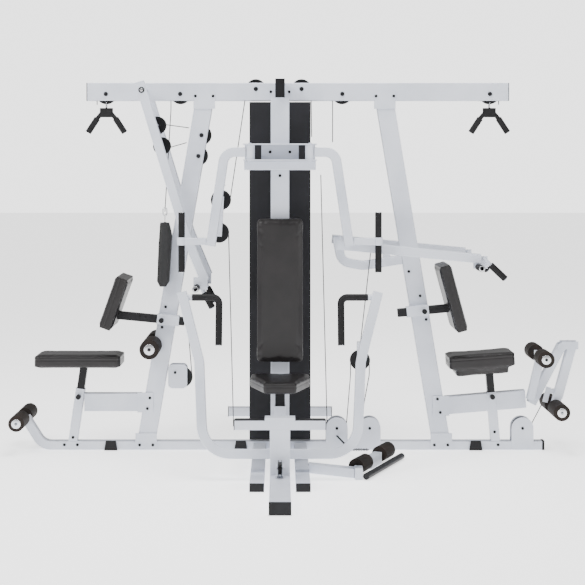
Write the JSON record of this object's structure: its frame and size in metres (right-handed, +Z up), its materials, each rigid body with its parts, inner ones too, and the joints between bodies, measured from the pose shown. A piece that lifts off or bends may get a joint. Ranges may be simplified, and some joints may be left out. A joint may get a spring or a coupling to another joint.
{
  "type": "multi-station home gym",
  "caption": "Triple-stack multi-station home gym in white tube steel with a chest-press and pec-fly tower, a seated row station, and a shoulder-press and leg-extension station.",
  "frame": {"origin": "centre of the bounding box at floor level", "axes": "+X to the leg-extension station, +Y to the back, +Z up"},
  "size_m": [3.194, 2.387, 2.103],
  "materials": {
    "frame": "cool white powder coat",
    "black_steel": "black powder coat",
    "shroud": "charcoal texture coat",
    "vinyl": "dark brown-black leatherette",
    "foam": "closed-cell foam",
    "grip": "moulded rubber",
    "plastic": "moulded nylon",
    "steel": "polished chrome",
    "iron": "black enamel",
    "cable": "nylon-coated wire rope",
    "webbing": "woven nylon and vinyl"
  },
  "bodies": {
    "frame": {"base_rail": "frame", "floor_tubes": "frame", "tower_frame": "frame", "top_beam": "frame", "left_upright": "frame", "right_upright": "frame", "left_seat_frame": "frame", "right_seat_frame": "frame", "pec_bracket": "frame", "press_base": "frame", "guide_rods": "steel", "resting_plates": "iron", "stack_shroud": "shroud", "centre_back_pad": "vinyl", "idler_pulleys": "plastic", "pulley_brackets": "frame", "rubber_ends": "plastic", "bolts_and_pins": "black_steel", "outrigger": "frame", "floor_bar": "black_steel", "cables": "cable"},
    "press_yoke_body": {"press_yoke": "frame", "press_grips": "grip"},
    "pec_left": {"pec_arm_left": "frame", "pec_grips_left": "grip"},
    "pec_right": {"pec_arm_right": "frame", "pec_grips_right": "grip"},
    "row": {"row_arm": "frame", "row_grips": "grip", "strut_pulleys": "plastic"},
    "shoulder_press": {"press_arm": "frame", "press_arm_grips": "grip"},
    "leg_lever": {"leg_arm": "frame"},
    "leg_foam": {"leg_rollers": "foam"},
    "upper_foam": {"upper_rollers": "foam"},
    "thigh_foam": {"thigh_rollers": "foam"},
    "foot_foam": {"foot_rollers": "foam"},
    "floor_foam": {"floor_rollers": "foam"},
    "left_seat": {"left_seat_post": "black_steel", "left_seat_pad": "vinyl"},
    "right_seat": {"right_seat_post": "black_steel", "right_seat_pad": "vinyl"},
    "centre_seat": {"centre_seat_post": "black_steel", "centre_seat_pad": "vinyl"},
    "chest_support": {"chest_pad_bar": "black_steel", "chest_pad": "vinyl"},
    "back_support": {"back_pad_bar": "black_steel", "back_pad": "vinyl"},
    "stack_front": {"carriage_front": "iron", "stack_cable_front": "cable"},
    "stack_middle": {"carriage_middle": "iron", "stack_cable_middle": "cable"},
    "stack_rear": {"carriage_rear": "iron", "stack_cable_rear": "cable"},
    "pulley_left": {"high_pulley_left": "plastic"},
    "pulley_right": {"high_pulley_right": "plastic"},
    "handle_left": {"v_handle_left": "grip"},
    "handle_right": {"v_handle_right": "grip"},
    "strap": {"ab_strap": "webbing"},
    "knobs": {"seat_knobs": "plastic"}
  },
  "joints": [
    {"name": "press_yoke_swing", "type": "hinge", "parent": "frame", "child": "press_yoke_body", "pos_m": [-0.093, -0.5065, 0.085], "axis": [1, 0, 0], "range_deg": [0, 35]},
    {"name": "pec_left_swing", "type": "hinge", "parent": "frame", "child": "pec_left", "pos_m": [-0.257, -0.1365, 1.684], "axis": [0, 0, 1], "range_deg": [0, 70]},
    {"name": "pec_right_swing", "type": "hinge", "parent": "frame", "child": "pec_right", "pos_m": [0.071, -0.1365, 1.684], "axis": [0, 0, -1], "range_deg": [0, 70]},
    {"name": "row_swing", "type": "hinge", "parent": "frame", "child": "row", "pos_m": [-0.863, 0.1935, 2.032], "axis": [0, 1, 0], "range_deg": [0, 16]},
    {"name": "shoulder_press_swing", "type": "hinge", "parent": "frame", "child": "shoulder_press", "pos_m": [0.243, 0.1935, 1.175], "axis": [0, -1, 0], "range_deg": [0, 25]},
    {"name": "leg_lever_swing", "type": "hinge", "parent": "frame", "child": "leg_lever", "pos_m": [1.504, 0.1935, 0.583], "axis": [0, -1, 0], "range_deg": [0, 75]},
    {"name": "leg_foam_spin", "type": "hinge", "parent": "leg_lever", "child": "leg_foam", "pos_m": [1.467, 0.1935, 0.243], "axis": [0, 1, 0], "continuous": true},
    {"name": "upper_foam_spin", "type": "hinge", "parent": "frame", "child": "upper_foam", "pos_m": [1.38, 0.1935, 0.537], "axis": [0, 1, 0], "continuous": true},
    {"name": "thigh_foam_spin", "type": "hinge", "parent": "frame", "child": "thigh_foam", "pos_m": [-0.814, 0.1935, 0.597], "axis": [0, 1, 0], "continuous": true},
    {"name": "foot_foam_spin", "type": "hinge", "parent": "frame", "child": "foot_foam", "pos_m": [-1.553, 0.1935, 0.182], "axis": [0, 1, 0], "continuous": true},
    {"name": "floor_foam_spin", "type": "hinge", "parent": "frame", "child": "floor_foam", "pos_m": [0.299, -0.4465, 0.048], "axis": [0.4388, 0.8986, 0], "continuous": true},
    {"name": "left_seat_height", "type": "slide", "parent": "frame", "child": "left_seat", "axis": [0.1437, 0, 0.9896], "range_m": [-0.05, 0.09]},
    {"name": "right_seat_height", "type": "slide", "parent": "frame", "child": "right_seat", "axis": [-0.0837, 0, 0.9965], "range_m": [-0.04, 0.09]},
    {"name": "centre_seat_height", "type": "slide", "parent": "frame", "child": "centre_seat", "axis": [0, 0, 1], "range_m": [-0.04, 0.08]},
    {"name": "chest_pad_reach", "type": "slide", "parent": "frame", "child": "chest_support", "axis": [-0.9954, 0, 0.0958], "range_m": [-0.05, 0.06]},
    {"name": "back_pad_reach", "type": "slide", "parent": "frame", "child": "back_support", "axis": [0.9954, 0, 0.0958], "range_m": [-0.05, 0.06]},
    {"name": "stack_front_lift", "type": "slide", "parent": "frame", "child": "stack_front", "axis": [0, 0, 1], "range_m": [0, 0.45], "deforming": ["stack_cable_front"]},
    {"name": "stack_middle_lift", "type": "slide", "parent": "frame", "child": "stack_middle", "axis": [0, 0, 1], "range_m": [0, 0.3], "deforming": ["stack_cable_middle"]},
    {"name": "stack_rear_lift", "type": "slide", "parent": "frame", "child": "stack_rear", "axis": [0, 0, 1], "range_m": [0, 0.35], "deforming": ["stack_cable_rear"]},
    {"name": "high_pulley_left_spin", "type": "hinge", "parent": "frame", "child": "pulley_left", "pos_m": [-1.08, 0.1935, 2.018], "axis": [0, 1, 0], "continuous": true},
    {"name": "high_pulley_right_spin", "type": "hinge", "parent": "frame", "child": "pulley_right", "pos_m": [1.097, 0.1935, 2.018], "axis": [0, 1, 0], "continuous": true},
    {"name": "v_handle_left_swing", "type": "hinge", "parent": "frame", "child": "handle_left", "pos_m": [-1.08, 0.1935, 1.954], "axis": [0, 1, 0], "range_deg": [-18, 18]},
    {"name": "v_handle_right_swing", "type": "hinge", "parent": "frame", "child": "handle_right", "pos_m": [1.097, 0.1935, 1.954], "axis": [0, 1, 0], "range_deg": [-18, 18]},
    {"name": "ab_strap_swing", "type": "hinge", "parent": "frame", "child": "strap", "pos_m": [-0.741, 0.1235, 1.344], "axis": [0, 1, 0], "range_deg": [-8, 10]},
    {"name": "seat_knob_pull", "type": "slide", "parent": "frame", "child": "knobs", "axis": [0, -1, 0], "range_m": [0, 0.012], "stiffness_N_per_m": 800}
  ],
  "couplings": [
    {"joint": "stack_front_lift", "follows": "press_yoke_swing", "m_per_rad": 0.73666},
    {"joint": "stack_middle_lift", "follows": "row_swing", "m_per_rad": 1.0743},
    {"joint": "stack_rear_lift", "follows": "shoulder_press_swing", "m_per_rad": 0.80214}
  ]
}
